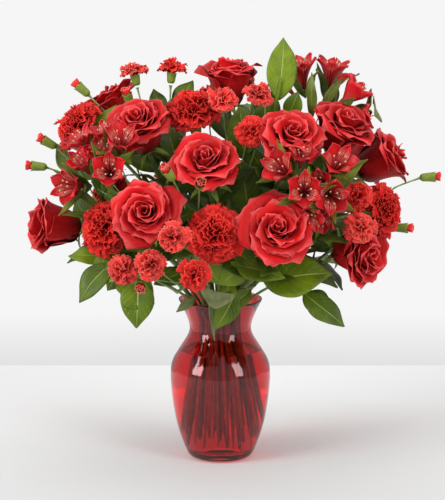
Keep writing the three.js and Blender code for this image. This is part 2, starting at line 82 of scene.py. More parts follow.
def add_camera():
    pitch = math.radians(10)
    distance = 2.4
    target = Vector((0.0027, 0, HEIGHT / 2))
    camera = bpy.data.objects.new("camera", bpy.data.cameras.new("camera"))
    camera.location = target + distance * Vector((0, -math.cos(pitch), math.sin(pitch)))
    camera.rotation_euler = (math.pi / 2 - pitch, 0, 0)
    camera.data.lens = 138.6
    camera.data.sensor_width = 36
    bpy.context.scene.collection.objects.link(camera)
    bpy.context.scene.camera = camera


def add_stage():
    """A pale table top. The studio behind it is the world's own soft grey."""
    front, back, half = -1.3, 0.49, 1.3
    points = [(x, y, -0.0002) for y in (front, back) for x in (-half, half)]
    mesh = bpy.data.meshes.new("table_top")
    mesh.from_pydata(points, [], [(0, 1, 3, 2)])
    board = bpy.data.objects.new("table_top", mesh)
    bpy.context.scene.collection.objects.link(board)
    mesh.materials.append(stage_material())


def stage_material():
    """A matt white top, greyer towards its front as painted shade, where the light falls off
    towards the camera.
    """
    material, nodes, links, shader = principled("table_top", (0.75, 0.75, 0.75), roughness=0.8)
    place = nodes.new("ShaderNodeTexCoord")
    grain = nodes.new("ShaderNodeTexNoise")
    grain.inputs["Scale"].default_value = 3.0
    links.new(place.outputs["Object"], grain.inputs["Vector"])
    split = nodes.new("ShaderNodeSeparateXYZ")
    links.new(place.outputs["Object"], split.inputs["Vector"])
    back = maths(nodes, links, "ADD", split.outputs["Y"], 0.25)
    back = maths(nodes, links, "MULTIPLY", back, 1.5)
    soft = maths(nodes, links, "MULTIPLY", grain.outputs["Fac"], 0.2)
    # Painted shade: grey at the front of the top, pale behind the vase, for the light that falls
    # off towards the camera.
    tone = ramp(nodes, [(0.1, (0.6, 0.6, 0.6)), (0.9, (0.78, 0.78, 0.78))])
    links.new(maths(nodes, links, "ADD", back, soft), tone.inputs["Fac"])
    links.new(tone.outputs["Color"], shader.inputs["Base Color"])
    return material


def add_light(name, place, size, power, target=(0, 0, 0.3)):
    light = bpy.data.lights.new(name, "AREA")
    light.shape = "RECTANGLE"
    light.size, light.size_y = size
    light.energy = power
    lamp = bpy.data.objects.new(name, light)
    lamp.location = place
    lamp.rotation_euler = (Vector(target) - Vector(place)).to_track_quat("-Z", "Y").to_euler()
    bpy.context.scene.collection.objects.link(lamp)


def add_lights():
    add_light("window_left", (-2.45, -1.62, 1.5), (1.36, 2.55), 90)
    add_light("window_right", (1.96, -1.96, 1.4), (1.0, 2.4), 46)
    add_light("overhead", (0.1, -0.3, 2.6), (2.6, 2.4), 24)
    add_world()
    bpy.context.scene.view_settings.view_transform = "Standard"


def add_world():
    """Pale behind the object, with a darker line low down, and dim as a light."""
    world = bpy.data.worlds.new("studio")
    world.use_nodes = True
    nodes, links = world.node_tree.nodes, world.node_tree.links
    lamp = nodes["Background"]
    lamp.inputs["Color"].default_value = (1, 1, 1, 1)
    lamp.inputs["Strength"].default_value = 0.55
    seen = nodes.new("ShaderNodeBackground")
    direction = nodes.new("ShaderNodeTexCoord")
    split = nodes.new("ShaderNodeSeparateXYZ")
    links.new(direction.outputs["Generated"], split.inputs["Vector"])
    span = nodes.new("ShaderNodeMapRange")
    span.inputs["From Min"].default_value = -0.235
    span.inputs["From Max"].default_value = -0.205
    links.new(split.outputs["Z"], span.inputs["Value"])
    tone = ramp(nodes, [(0.0, (0.74, 0.74, 0.74)), (1.0, (0.92, 0.92, 0.92))])
    links.new(span.outputs["Result"], tone.inputs["Fac"])
    links.new(tone.outputs["Color"], seen.inputs["Color"])
    path = nodes.new("ShaderNodeLightPath")
    mix = nodes.new("ShaderNodeMixShader")
    links.new(path.outputs["Is Camera Ray"], mix.inputs["Fac"])
    links.new(lamp.outputs["Background"], mix.inputs[1])
    links.new(seen.outputs["Background"], mix.inputs[2])
    links.new(mix.outputs["Shader"], nodes["World Output"].inputs["Surface"])
    bpy.context.scene.world = world


# ---------- Materials ----------


def principled(name, colour, roughness=0.5, **values):
    """A material with one shader; `values` are more of its sockets, by name."""
    material = bpy.data.materials.new(name)
    material.use_nodes = True
    nodes, links = material.node_tree.nodes, material.node_tree.links
    shader = nodes["Principled BSDF"]
    shader.inputs["Base Color"].default_value = (*colour, 1)
    shader.inputs["Roughness"].default_value = roughness
    for key, value in values.items():
        shader.inputs[key.replace("_", " ").title().replace("Ior", "IOR")].default_value = value
    return material, nodes, links, shader


def ramp(nodes, stops):
    """A colour ramp; each stop is a position and a colour."""
    node = nodes.new("ShaderNodeValToRGB")
    elements = node.color_ramp.elements
    while len(elements) < len(stops):
        elements.new(0.5)
    for element, (position, colour) in zip(elements, stops):
        element.position = position
        element.color = (*colour, 1)
    return node


def mixed(nodes, links, factor, a, b, mode="MIX"):
    """A colour mix; factor, a and b are sockets or values."""
    node = nodes.new("ShaderNodeMix")
    node.data_type = "RGBA"
    node.blend_type = mode
    for key, value in (("Factor", factor), ("A", a), ("B", b)):
        socket = next(s for s in node.inputs if s.name == key and s.enabled)
        if isinstance(value, (float, int)):
            socket.default_value = value
        elif isinstance(value, tuple):
            socket.default_value = (*value, 1)
        else:
            links.new(value, socket)
    return next(s for s in node.outputs if s.enabled)


def maths(nodes, links, operation, a, b=0.0):
    """A sum on numbers; a and b are sockets or values."""
    node = nodes.new("ShaderNodeMath")
    node.operation = operation
    for socket, value in zip(node.inputs, (a, b)):
        if isinstance(value, (float, int)):
            socket.default_value = value
        else:
            links.new(value, socket)
    return node.outputs[0]


def painted(nodes, links):
    """The four numbers painted on each point: along, across, random, layer."""
    attribute = nodes.new("ShaderNodeAttribute")
    attribute.attribute_name = "paint"
    split = nodes.new("ShaderNodeSeparateColor")
    links.new(attribute.outputs["Color"], split.inputs["Color"])
    colours = [split.outputs[name] for name in ("Red", "Green", "Blue")]
    return *colours, attribute.outputs["Alpha"]


def noise_at(nodes, scale, detail=3.0):
    """Noise with `scale` cells to the metre."""
    node = nodes.new("ShaderNodeTexNoise")
    node.inputs["Scale"].default_value = scale
    node.inputs["Detail"].default_value = detail
    place = nodes.new("ShaderNodeTexCoord")
    node.id_data.links.new(place.outputs["Object"], node.inputs["Vector"])
    return node.outputs["Fac"]


def add_bump(nodes, links, shader, height, strength, distance):
    bump = nodes.new("ShaderNodeBump")
    bump.inputs["Strength"].default_value = strength
    bump.inputs["Distance"].default_value = distance
    links.new(height, bump.inputs["Height"])
    links.new(bump.outputs["Normal"], shader.inputs["Normal"])


def petal_material(name, heart, blade, rim, rim_starts, roughness, **values):
    """A petal: `heart` at its foot, `blade` over most of it and `rim` along its edge. A darker
    heart is painted shade in the crevices at the petals' feet, and a lighter rim is a painted
    highlight along their edges.
    """
    material, nodes, links, shader = principled(name, blade, roughness, **values)
    along, across, random, _ = painted(nodes, links)
    edge = maths(nodes, links, "MAXIMUM", along, maths(nodes, links, "MULTIPLY", across, 0.98))
    middle = tuple(0.5 * (a + b) for a, b in zip(heart, blade))
    # Painted shade from the dark heart up to the blade, and a painted highlight from the blade out
    # to the lighter rim.
    stops = [(0.0, heart), (0.45, middle), (0.78, blade), (rim_starts, blade), (1.0, rim)]
    base = ramp(nodes, stops)
    links.new(edge, base.inputs["Fac"])
    shade = ramp(nodes, [(0.0, (0.72, 0.72, 0.72)), (1.0, (1.12, 1.12, 1.12))])
    links.new(random, shade.inputs["Fac"])
    toned = mixed(nodes, links, 1.0, base.outputs["Color"], shade.outputs["Color"], "MULTIPLY")
    mottle = ramp(nodes, [(0.35, (0.86, 0.86, 0.86)), (0.7, (1.06, 1.06, 1.06))])
    links.new(noise_at(nodes, 260.0), mottle.inputs["Fac"])
    links.new(
        mixed(nodes, links, 1.0, toned, mottle.outputs["Color"], "MULTIPLY"),
        shader.inputs["Base Color"],
    )
    vein = maths(nodes, links, "SINE", maths(nodes, links, "MULTIPLY", across, 40.0))
    relief = maths(nodes, links, "ADD", vein, noise_at(nodes, 900.0, 2.0))
    add_bump(nodes, links, shader, relief, 0.25, 0.0003)
    return material


def tepal_material():
    """Alstroemeria: red, with a pale throat and dark dashes on the three inner tepals."""
    material = petal_material(
        "alstroemeria_petal", (0.5, 0.06, 0.05), (0.6, 0.006, 0.012), (0.66, 0.03, 0.04),
        rim_starts=0.9, roughness=0.42, specular_ior_level=0.35,
    )
    nodes, links = material.node_tree.nodes, material.node_tree.links
    shader = nodes["Principled BSDF"]
    plain = shader.inputs["Base Color"].links[0].from_socket
    along, across, _, inner = painted(nodes, links)
    black, white = (0, 0, 0), (1, 1, 1)
    throat = ramp(nodes, [(0.3, black), (0.45, white), (0.72, white), (0.86, black)])
    links.new(along, throat.inputs["Fac"])
    pale = maths(nodes, links, "MULTIPLY", throat.outputs["Color"], inner)
    dash = maths(nodes, links, "SINE", maths(nodes, links, "MULTIPLY", across, 26.0))
    broken = maths(nodes, links, "SINE", maths(nodes, links, "MULTIPLY", along, 34.0))
    waver = maths(nodes, links, "MULTIPLY", broken, 0.35)
    dark = maths(nodes, links, "GREATER_THAN", maths(nodes, links, "ADD", dash, waver), 0.25)
    streaked = mixed(nodes, links, dark, (0.82, 0.24, 0.19), (0.28, 0.002, 0.006))
    strength = maths(nodes, links, "MULTIPLY", pale, 0.85)
    links.new(mixed(nodes, links, strength, plain, streaked), shader.inputs["Base Color"])
    return material


def leaf_material(name, dark, light, vein_colour, roughness):
    """A leaf with a pale midrib and side veins that run out and forward."""
    material, nodes, links, shader = principled(name, light, roughness, specular_ior_level=0.22)
    along, across, random, _ = painted(nodes, links)
    blotch = ramp(nodes, [(0.3, dark), (0.75, light)])
    links.new(noise_at(nodes, 45.0, 4.0), blotch.inputs["Fac"])
    shade = ramp(nodes, [(0.0, (0.62, 0.66, 0.55)), (1.0, (1.25, 1.18, 1.05))])
    links.new(random, shade.inputs["Fac"])
    toned = mixed(nodes, links, 1.0, blotch.outputs["Color"], shade.outputs["Color"], "MULTIPLY")
    slope = maths(nodes, links, "MULTIPLY", across, 2.6)
    phase = maths(nodes, links, "SUBTRACT", maths(nodes, links, "MULTIPLY", along, 8.0), slope)
    wave = maths(nodes, links, "SINE", maths(nodes, links, "MULTIPLY", phase, math.pi))
    wave = maths(nodes, links, "ABSOLUTE", wave)
    side_vein = maths(nodes, links, "LESS_THAN", wave, 0.1)
    midrib = maths(nodes, links, "LESS_THAN", across, 0.035)
    side_vein = maths(nodes, links, "MULTIPLY", side_vein, 0.38)
    veins = maths(nodes, links, "MAXIMUM", side_vein, midrib)
    links.new(mixed(nodes, links, veins, toned, vein_colour), shader.inputs["Base Color"])
    dip = maths(nodes, links, "MINIMUM", maths(nodes, links, "MULTIPLY", wave, 3.0), 1.0)
    rib = maths(nodes, links, "MINIMUM", maths(nodes, links, "MULTIPLY", across, 12.0), 1.0)
    relief = maths(nodes, links, "ADD", dip, maths(nodes, links, "MULTIPLY", rib, 2.0))
    add_bump(nodes, links, shader, relief, 0.5, 0.0005)
    return material


def stem_material(name, dark, light):
    """A mottled, slightly rough stem."""
    material, nodes, links, shader = principled(name, light, 0.5)
    tone = ramp(nodes, [(0.3, dark), (0.7, light)])
    links.new(noise_at(nodes, 120.0, 4.0), tone.inputs["Fac"])
    links.new(tone.outputs["Color"], shader.inputs["Base Color"])
    add_bump(nodes, links, shader, noise_at(nodes, 600.0, 3.0), 0.3, 0.0004)
    return material


def glass_material():
    """Ruby glass. Shadow rays pass through it tinted, so that the stems inside are lit."""
    material, nodes, links, shader = principled(
        "ruby_glass", (0.8, 0.1, 0.11), 0.015, transmission_weight=1.0
    )
    shader.inputs["IOR"].default_value = 1.5
    waves = noise_at(nodes, 24.0, 2.0)
    tint = ramp(nodes, [(0.3, (0.75, 0.055, 0.065)), (0.7, (0.79, 0.085, 0.095))])
    links.new(waves, tint.inputs["Fac"])
    links.new(tint.outputs["Color"], shader.inputs["Base Color"])
    add_bump(nodes, links, shader, waves, 0.05, 0.002)
    let_lamps_through(nodes, links, shader, (0.86, 0.4, 0.4))
    return material


def water_material():
    """Clear water with a faint ripple."""
    material, nodes, links, shader = principled(
        "water", (0.99, 0.97, 0.97), 0.0, transmission_weight=1.0
    )
    shader.inputs["IOR"].default_value = 1.33
    ripple = noise_at(nodes, 30.0, 1.0)
    add_bump(nodes, links, shader, ripple, 0.03, 0.001)
    let_lamps_through(nodes, links, shader, (0.97, 0.97, 0.97))
    return material


def let_lamps_through(nodes, links, shader, tint):
    """Lets shadow rays pass, coloured by `tint`, where other rays meet the shader."""
    path = nodes.new("ShaderNodeLightPath")
    clear = nodes.new("ShaderNodeBsdfTransparent")
    clear.inputs["Color"].default_value = (*tint, 1)
    mix = nodes.new("ShaderNodeMixShader")
    links.new(path.outputs["Is Shadow Ray"], mix.inputs["Fac"])
    links.new(shader.outputs["BSDF"], mix.inputs[1])
    links.new(clear.outputs["BSDF"], mix.inputs[2])
    links.new(mix.outputs["Shader"], nodes["Material Output"].inputs["Surface"])


# ---------- Measuring the CAD nodes ----------


def weld(node):
    """A node's points, each one once, and which of them each vertex of its mesh is."""
    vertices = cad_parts[node].data.vertices
    raw = np.empty(len(vertices) * 3)
    vertices.foreach_get("co", raw)
    raw = raw.reshape(-1, 3)
    rounded = np.round(raw * 1e5).astype(int)
    _, first, index = np.unique(rounded, axis=0, return_index=True, return_inverse=True)
    return raw[first], index.reshape(-1)


def welded(node):
    """A node's points, and the neighbours of each point."""
    points, index = weld(node)
    around = [set() for _ in points]
    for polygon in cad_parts[node].data.polygons:
        corners = [index[v] for v in polygon.vertices]
        for corner in corners:
            around[corner].update(corners)
    for i, others in enumerate(around):
        others.discard(i)
    return points, [sorted(others) for others in around]


def unit(v):
    """The vector of length one in the direction of `v`."""
    return v / np.linalg.norm(v)


def crowns(points, around):
    """The heads in a node: each crown's top, the way it faces and its ring's radius."""
    found = []
    for i, others in enumerate(around):
        if len(others) < CROWN_SPOKES:
            continue
        ring = points[others]
        reach = np.linalg.norm(ring - points[i], axis=1)
        if reach.std() > 0.02 * reach.mean():
            continue
        middle = ring.mean(axis=0)
        lift = points[i] - middle
        if np.linalg.norm(lift) > 0.04 * reach.mean():
            found.append((points[i], unit(lift), np.linalg.norm(ring - middle, axis=1).mean()))
    return found


def blades(points, around):
    """The leaves in a node: each blade's base, tip, upper side and width."""
    found = []
    for i, others in enumerate(around):
        if len(others) < BLADE_SPOKES:
            continue
        spokes = points[others] - points[i]
        reach = np.linalg.norm(spokes, axis=1)
        if reach.std() < 0.1 * reach.mean():
            continue
        tip = points[others[int(reach.argmax())]]
        to_tip = tip - points[i]
        base = points[i] - to_tip * (BLADE_MIDDLE / (1 - BLADE_MIDDLE))
        length = unit(tip - base)
        across = spokes - np.outer(spokes @ length, length)
        sideways = np.linalg.norm(across, axis=1)
        side = unit(across[int(sideways.argmax())])
        up = unit(np.cross(length, side))
        if (spokes @ up).sum() > 0:
            up = -up
        found.append((base, tip, up, 2 * sideways.max()))
    return found


def head_frame(crown, kind):
    """A head's middle, the way it faces and its width, from its crown."""
    top, faces, ring = crown
    width = 2 * ring / CROWN_RING[kind]
    return top - faces * width * DEPTH[kind] / 2, faces, width


# ---------- Meshes ----------


class Sheets:
    """Curved sheets of quads, gathered into one mesh."""

    def __init__(self):
        self.points, self.quads, self.paint, self.slots, self.count = [], [], [], [], 0
        self.caps, self.cap_slots = [], []

    def add(self, points, paint, slot=0, closed=False, capped=False):
        """`points` is rows by columns by 3, `paint` rows by columns by 4.

        A closed sheet joins its last column to its first, and a capped one is shut at both ends.
        """
        rows, columns = points.shape[:2]
        index = np.arange(rows * columns).reshape(rows, columns) + self.count
        if capped:
            self.caps += [index[0, ::-1].tolist(), index[-1].tolist()]
            self.cap_slots += [slot, slot]
        if closed or capped:
            index = np.concatenate([index, index[:, :1]], axis=1)
        quads = np.stack([index[:-1, :-1], index[:-1, 1:], index[1:, 1:], index[1:, :-1]], axis=-1)
        self.points.append(points.reshape(-1, 3))
        self.paint.append(np.broadcast_to(paint, (rows, columns, 4)).reshape(-1, 4))
        self.quads.append(quads.reshape(-1, 4))
        self.slots.append(np.full(len(quads.reshape(-1, 4)), slot))
        self.count += rows * columns

    def build(self, name, materials, thickness=0.0, smoothing=0):
        """The sheets as one object; a thickness makes each a closed shell."""
        points, quads = np.concatenate(self.points), np.concatenate(self.quads)
        mesh = bpy.data.meshes.new(name)
        mesh.from_pydata(points, [], quads.tolist() + self.caps)
        for material in materials:
            mesh.materials.append(material)
        slots = np.concatenate([*self.slots, self.cap_slots]).astype(np.int32)
        mesh.polygons.foreach_set("material_index", slots)
        mesh.shade_smooth()
        paint = mesh.attributes.new("paint", "FLOAT_COLOR", "POINT")
        paint.data.foreach_set("color", np.concatenate(self.paint).astype(np.float32).ravel())
        piece = bpy.data.objects.new(name, mesh)
        bpy.context.scene.collection.objects.link(piece)
        if thickness:
            solid = piece.modifiers.new("thickness", "SOLIDIFY")
            solid.thickness = thickness
            solid.offset = 0
        if smoothing:
            smooth = piece.modifiers.new("smoothing", "SUBSURF")
            smooth.levels = smooth.render_levels = smoothing
        return piece


def placed(local, centre, faces, spin=0.0):
    """Moves points from a head's own frame, +Z the way it faces, to the object's."""
    faces = unit(np.asarray(faces, float))
    helper = np.array([0, 0, 1.0]) if abs(faces[2]) < 0.9 else np.array([0, 1.0, 0])
    x = unit(np.cross(helper, faces))
    y = np.cross(faces, x)
    turned_x = x * math.cos(spin) + y * math.sin(spin)
    turned_y = y * math.cos(spin) - x * math.sin(spin)
    return local @ np.stack([turned_x, turned_y, faces]) + centre


def lerp(a, b, t):
    """The value a share `t` of the way from a to b."""
    return a + (b - a) * t


def smoothstep(low, high, x):
    """0 below `low`, 1 above `high`, and a smooth rise between them."""
    t = np.clip((x - low) / (high - low), 0, 1)
    return t * t * (3 - 2 * t)


def swept(angles, length):
    """How far out and up a line goes whose slope from upright is `angles`, row by row."""
    step = length / (len(angles) - 1)
    middle = (angles[1:] + angles[:-1]) / 2
    out = np.concatenate([[0], np.cumsum(np.sin(middle) * step)])
    rise = np.concatenate([[0], np.cumsum(np.cos(middle) * step)])
    return out, rise


def revolved(profile, sides, paint=(0, 0, 0.5, 0)):
    """Points of a profile of (radius, height) turned about Z."""
    turn = np.linspace(0, 2 * np.pi, sides, endpoint=False)
    r, z = np.array(profile).T
    x = np.outer(r, np.cos(turn))
    y = np.outer(r, np.sin(turn))
    return np.stack([x, y, np.broadcast_to(z[:, None], x.shape)], axis=-1), np.array(paint, float)


# ---------- Roses ----------

# How far each rose has opened; 1 is a full spiral with its outer petals rolled back.
ROSE_OPENNESS = {
    1: 0.48, 2: 0.7, 3: 0.66, 4: 0.66, 5: 0.8, 6: 0.68, 7: 0.66,
    8: 0.5, 9: 0.56, 10: 0.42, 11: 0.58, 12: 0.8, 13: 0.75, 14: 0.85,
}
ROSE_PETALS = 26


def rose_petal(t, azimuth, rng, openness):
    """One petal, for a bloom one unit wide. `t` runs from 0 at the heart to 1 outside."""
    rows, columns = 13, 13
    v = np.linspace(0, 1, rows)
    u = np.linspace(-1, 1, columns)
    start = math.radians(lerp(15, 76, t))
    middle = math.radians(lerp(-5, 24, t) * openness)
    end = math.radians(lerp(14, 150, t**1.25) * openness)
    slope = start + (middle - start) * smoothstep(0.0, 0.42, v)
    slope = slope + (end - middle) * smoothstep(0.62, 1.0, v) ** 1.3
    reach = lerp(0.76, 0.84, t) * (1.14 - 0.16 * openness)
    out, rise = swept(slope, reach * (1 + 0.05 * rng.normal()))
    out = out + lerp(0.012, 0.03, t)
    outline = np.where(
        v < 0.6,
        lerp(0.35, 1.0, smoothstep(0.0, 0.6, v)),
        np.sqrt(np.clip(1 - (np.clip(v - 0.6, 0, 1) / 0.41) ** 3.0, 0.03, 1)),
    )
    span = math.radians(lerp(150, 66, t**0.5)) * (1 + 0.08 * rng.normal())
    U, V = np.meshgrid(u, v)
    edge = np.abs(U)
    theta = azimuth + U * span * outline[:, None]
    phase = rng.uniform(0, 2 * np.pi, 3)
    radius = out[:, None] * (1 + lerp(0.22, 0.05, t) * U)
    curl = lerp(0.01, 0.085, t) * openness
    radius = radius + curl * smoothstep(0.45, 1.0, edge) * smoothstep(0.2, 0.8, V)
    radius = radius + 0.014 * np.sin(2.6 * U + phase[0]) * V**2
    height = rise[:, None] - lerp(0.02, 0.07, t) * edge**2 * V
    height = height + 0.012 * np.sin(3.4 * U + phase[1]) * V
    tip = np.exp(-((U / 0.22) ** 2)) * smoothstep(0.85, 1.0, V)
    radius = radius + 0.012 * t * tip
    height = height - DEPTH["rose"] / 2
    points = np.stack([radius * np.cos(theta), radius * np.sin(theta), height], axis=-1)
    side = smoothstep(0.6, 1.0, edge) * smoothstep(0.3, 0.7, V)
    paint = np.stack([V, side, np.full_like(V, rng.uniform()), np.full_like(V, t)], axis=-1)
    return points, paint


def add_rose(node, number, materials):
    points, around = welded(node)
    centre, faces, width = head_frame(crowns(points, around)[0], "rose")
    rng = np.random.default_rng(ROSE_SEED + number)
    openness = ROSE_OPENNESS[number]
    sheets = Sheets()
    spin = rng.uniform(0, 2 * np.pi)
    for i in range(ROSE_PETALS):
        t = (i / (ROSE_PETALS - 1)) ** 0.9
        azimuth = i * GOLDEN + rng.normal() * 0.12
        petal, paint = rose_petal(t, azimuth, rng, openness)
        sheets.add(placed(petal * width, centre, faces, spin), paint)
    bloom = sheets.build(f"rose_{number}_petals", [materials["rose"]], 0.0005)
    finish_piece(bloom, node)
    add_rose_cup(number, centre, faces, width, rng, materials)


def add_rose_cup(number, centre, faces, width, rng, materials):
    """The green cup under a rose, with its five sepals."""
    sheets = Sheets()
    low = -DEPTH["rose"] / 2
    cup_from_low = [(0.001, -0.06), (0.045, -0.055), (0.085, -0.01), (0.1, 0.05), (0.04, 0.07)]
    cup = [(radius, low + height) for radius, height in cup_from_low]
    points, paint = revolved(cup, 14)
    sheets.add(placed(points * width, centre, faces), paint, closed=True)
    for i in range(5):
        v = np.linspace(0, 1, 9)
        slope = np.radians(np.interp(v, [0, 0.5, 1], [60, 105, 150 + 15 * rng.normal()]))
        out, rise = swept(slope, 0.36)
        u = np.linspace(-1, 1, 5)
        half = 0.05 * np.sin(np.pi * np.clip(v, 0.06, 0.97) ** 0.7)
        azimuth = i * 2 * np.pi / 5 + rng.normal() * 0.1
        radial = np.array([math.cos(azimuth), math.sin(azimuth), 0])
        sideways = np.array([-math.sin(azimuth), math.cos(azimuth), 0])
        points = (
            (0.07 + out)[:, None, None] * radial
            + (half[:, None] * u)[..., None] * sideways
            + (low + rise)[:, None, None] * np.array([0, 0, 1.0])
        )
        paint = np.stack(np.broadcast_arrays(v[:, None], np.abs(u)[None], 0.5, 0.0), axis=-1)
        sheets.add(placed(points * width, centre, faces), paint)
    piece = sheets.build(f"rose_{number}_sepals", [materials["calyx"]], 0.0006)
    finish_piece(piece)


# ---------- Carnations ----------


# A spray carnation is the same flower as a carnation, smaller and looser.
FRILLS = {
    "carnation": {
        "petals": 58, "columns": 31, "rows": 9,
        "foot": -0.09, "reach": 0.57, "uneven": 0.06, "outer_frill": 0.45,
    },
    "spray": {
        "petals": 24, "columns": 21, "rows": 8,
        "foot": -0.1, "reach": 0.76, "uneven": 0.12, "outer_frill": 0.8,
    },
}


def carnation_petal(t, azimuth, rng, form):
    """One frilled petal, for a bloom one unit wide. `t` runs from 0 inside to 1 outside."""
    v = np.linspace(0, 1, form["rows"])
    u = np.linspace(-1, 1, form["columns"])
    U, V = np.meshgrid(u, v)
    slope = np.radians(lerp(4, lerp(2, 104, t**0.75), smoothstep(0.0, 0.75, v) ** 0.8))
    length = form["reach"] * (1 + form["uneven"] * rng.normal()) * (0.96 + 0.12 * t**3)
    out, rise = swept(slope, length)
    teeth = np.abs(((u * 7.5 + rng.uniform()) % 1.0) - 0.5) * 2
    trim = 1 - (0.04 + 0.09 * teeth)[None] * smoothstep(0.8, 1.0, V) - 0.14 * U**2 * V**2
    out = out[:, None] * trim
    rise = rise[:, None] * trim
    half = lerp(0.03, lerp(0.22, 0.35, t), V**0.85)
    phase = rng.uniform(0, 2 * np.pi, 4)
    folds = rng.uniform(4.0, 7.2)
    calm = lerp(1.0, form["outer_frill"], smoothstep(0.75, 1.0, t))
    ruffle = 0.058 * calm * V**1.6 * np.sin(U * folds + phase[0])
    ruffle = ruffle + 0.03 * calm * V**3 * np.sin(U * folds * 2.3 + phase[1])
    ruffle = ruffle + 0.018 * V**4 * np.sin(U * 24 + phase[2])
    ruffle = ruffle + 0.05 * U**2 * V * (1 - t)
    normal_out = np.cos(slope)[:, None]
    normal_up = -np.sin(slope)[:, None]
    twist = rng.normal() * lerp(0.9, 0.12, t)
    across = U * half
    side = across * math.cos(twist) - ruffle * math.sin(twist)
    lift = across * math.sin(twist) + ruffle * math.cos(twist)
    radial = lerp(0.02, 0.06, t) + out + lift * normal_out
    height = form["foot"] + rise + lift * normal_up
    x = radial * math.cos(azimuth) - side * math.sin(azimuth)
    y = radial * math.sin(azimuth) + side * math.cos(azimuth)
    edge = smoothstep(0.75, 1.0, np.abs(U)) * smoothstep(0.5, 0.9, V)
    paint = np.stack([V, edge, np.full_like(V, rng.uniform()), np.full_like(V, t)], axis=-1)
    return np.stack([x, y, height], axis=-1), paint


def carnation_bloom(sheets, centre, faces, width, rng, kind, slot):
    """The petals of a carnation or of a spray carnation."""
    form = FRILLS[kind]
    for i in range(form["petals"]):
        t = (i / (form["petals"] - 1)) ** 0.8
        petal, paint = carnation_petal(t, i * GOLDEN + rng.normal() * 0.2, rng, form)
        sheets.add(placed(petal * width, centre, faces), paint, slot)


def calyx(sheets, centre, faces, width, low, high, radius, slot, sides=15):
    """The green tube under a carnation, which ends in five teeth."""
    shares = np.linspace(0, 1, 8)
    radii = radius * np.interp(shares, [0, 0.12, 0.5, 0.85, 1], [0.5, 0.85, 0.95, 1.05, 1.15])
    turn = np.linspace(0, 2 * np.pi, sides, endpoint=False)
    tooth = np.abs(((turn * 5 / (2 * np.pi)) % 1.0) - 0.5) * 2
    toothed = smoothstep(0.6, 1.0, shares)[:, None]
    z = low + (high - low) * (shares[:, None] + 0.16 * (tooth[None] - 0.5) * toothed)
    points = np.stack([radii[:, None] * np.cos(turn), radii[:, None] * np.sin(turn), z], axis=-1)
    paint = np.stack(np.broadcast_arrays(shares[:, None], tooth[None] * 0.3, 0.5, 0.0), axis=-1)
    sheets.add(placed(points * width, centre, faces), paint, slot, closed=True)


def add_carnation(node, number, materials):
    points, around = welded(node)
    centre, faces, width = head_frame(crowns(points, around)[0], "carnation")
    rng = np.random.default_rng(CARNATION_SEED + number)
    sheets = Sheets()
    carnation_bloom(sheets, centre, faces, width, rng, "carnation", 0)
    bloom = sheets.build(f"carnation_{number}_petals", [materials["carnation"]], 0.0004)
    finish_piece(bloom, node)
    green = Sheets()
    low = -DEPTH["carnation"] / 2
    calyx(green, centre, faces, width, low, -0.04, 0.115, 0)
    piece = green.build(f"carnation_{number}_calyx", [materials["calyx"]], 0.0008, 1)
    finish_piece(piece)


def bud(sheets, centre, faces, width, rng, petal_slot, calyx_slot):
    """A closed spray carnation: folded petals that show above their calyx."""
    depth = DEPTH["bud"]
    calyx(sheets, centre, faces, width, -depth / 2, depth * 0.22, 0.46, calyx_slot)
    for i in range(8):
        v = np.linspace(0, 1, 8)
        u = np.linspace(-1, 1, 11)
        U, V = np.meshgrid(u, v)
        flare = 0.4 * smoothstep(0.5, 1.0, V) * (1 - 0.14 * i)
        radius = 0.38 * np.sin(np.pi * (0.25 + 0.45 * V)) * (1 - 0.11 * i * V) + 0.5 * flare
        radius = radius + 0.09 * np.sin(U * 7 + i) * V**3
        theta = i * GOLDEN + U * 0.85
        height = -0.1 + V * (depth / 2 + 0.16 - 0.03 * i) - 0.08 * U**2 * V
        points = np.stack([radius * np.cos(theta), radius * np.sin(theta), height], axis=-1)
        paint = np.stack([V, 0 * V, np.full_like(V, rng.uniform()), 0 * V], axis=-1)
        sheets.add(placed(points * width, centre, faces), paint, petal_slot)


def add_spray(node, number, materials):
    """A spray carnation: its open heads and buds, and its stems from the CAD node."""
    points, around = welded(node)
    rng = np.random.default_rng(SPRAY_SEED + number)
    heads = crowns(points, around)
    sheets = Sheets()
    greens = Sheets()
    for index, crown in enumerate(heads):
        is_bud = 2 * crown[2] / CROWN_RING["bud"] < BUD_AT_MOST
        kind = "bud" if is_bud else "spray"
        centre, faces, width = head_frame(crown, kind)
        if is_bud:
            bud(sheets, centre, faces, width, rng, 1, 2)
        else:
            carnation_bloom(sheets, centre, faces, width, rng, "spray", (index + number) % 2)
            calyx(greens, centre, faces, width, -0.42, 0.04, 0.19, 0)
    piece = sheets.build(
        f"spray_carnation_{number}_flowers",
        [materials["spray_plain"], materials["spray_edged"], materials["calyx"]],
        0.0003,
    )
    finish_piece(piece, node)
    if greens.count:
        finish_piece(
            greens.build(f"spray_carnation_{number}_calyxes", [materials["calyx"]], 0.0006, 1),
        )
    add_stems(node, materials["soft_stem"], heads, [])


# ---------- Alstroemeria ----------


STAMEN_PAINT = np.array([1, 0, 0.5, 0.0])


